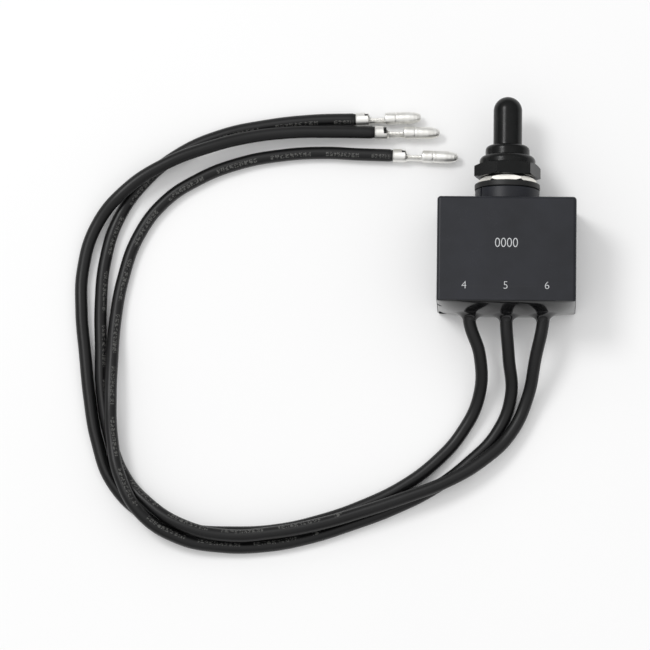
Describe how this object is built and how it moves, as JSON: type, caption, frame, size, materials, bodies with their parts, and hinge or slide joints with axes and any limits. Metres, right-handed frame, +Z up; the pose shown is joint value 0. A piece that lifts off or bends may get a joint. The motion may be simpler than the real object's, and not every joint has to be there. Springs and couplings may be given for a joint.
{
  "type": "toggle switch",
  "caption": "Sealed panel toggle switch with a rubber boot over its bat lever, potted in a rectangular case, with insulated leads that end in crimped bullet terminals.",
  "frame": {"origin": "centre of the case's back face, which lies on the table", "axes": "+Y along the toggle axis towards the tip of the boot, +X along the row of leads from the one marked 4 to the one marked 6, +Z up out of the case's front face"},
  "size_m": [0.1436, 0.1309, 0.024],
  "materials": {
    "case_plastic": "satin moulded black",
    "epoxy": "glossy black epoxy",
    "gasket_rubber": "smooth black rubber",
    "nickel_plate": "bright nickel plate",
    "boot_rubber": "matte black rubber",
    "brass": "plain brass",
    "steel": "zinc-plated steel",
    "nylon": "natural nylon",
    "phenolic": "brown phenolic",
    "copper": "bare copper",
    "tinned_copper": "tinned copper strands",
    "silver": "silver contact",
    "lead_insulation": "semi-gloss black wire insulation",
    "tin_plate": "bright tin plate"
  },
  "bodies": {
    "housing": {"case": "case_plastic", "potting": "epoxy", "gasket_washer": "gasket_rubber", "panel_nut": "nickel_plate", "boot": "boot_rubber", "boot_insert": "brass", "bushing": "nickel_plate", "pivot_pin": "steel", "frame_plate": "steel", "switch_base": "phenolic", "common_terminal": "brass", "terminal_4": "brass", "terminal_6": "brass", "fixed_contacts": "silver", "lead_4": "lead_insulation", "lead_5": "lead_insulation", "lead_6": "lead_insulation", "strands_4": "tinned_copper", "strands_5": "tinned_copper", "strands_6": "tinned_copper", "bullet_4": "tin_plate", "bullet_5": "tin_plate", "bullet_6": "tin_plate"},
    "lever": {"lever": "nickel_plate", "plunger_spring": "steel"},
    "plunger": {"plunger": "nylon"},
    "rocker": {"rocker": "copper", "rocker_contacts": "silver"}
  },
  "joints": [
    {"name": "lever_tilt", "type": "hinge", "parent": "housing", "child": "lever", "pos_m": [0, 0.0178, 0.012], "axis": [0, 0, 1], "range_deg": [-13, 13], "deforming": ["boot"]},
    {"name": "plunger_slide", "type": "slide", "parent": "lever", "child": "plunger", "axis": [0, 1, 0], "range_m": [0, 0.0008], "stiffness_N_per_m": 400, "springref_m": -0.001, "deforming": ["plunger_spring"]},
    {"name": "rocker_tilt", "type": "hinge", "parent": "housing", "child": "rocker", "pos_m": [0, 0.00363, 0.012], "axis": [0, 0, 1], "range_deg": [-8.5, 8.5]}
  ],
  "couplings": [
    {"joint": "rocker_tilt", "follows": "lever_tilt", "ratio": -0.615}
  ]
}
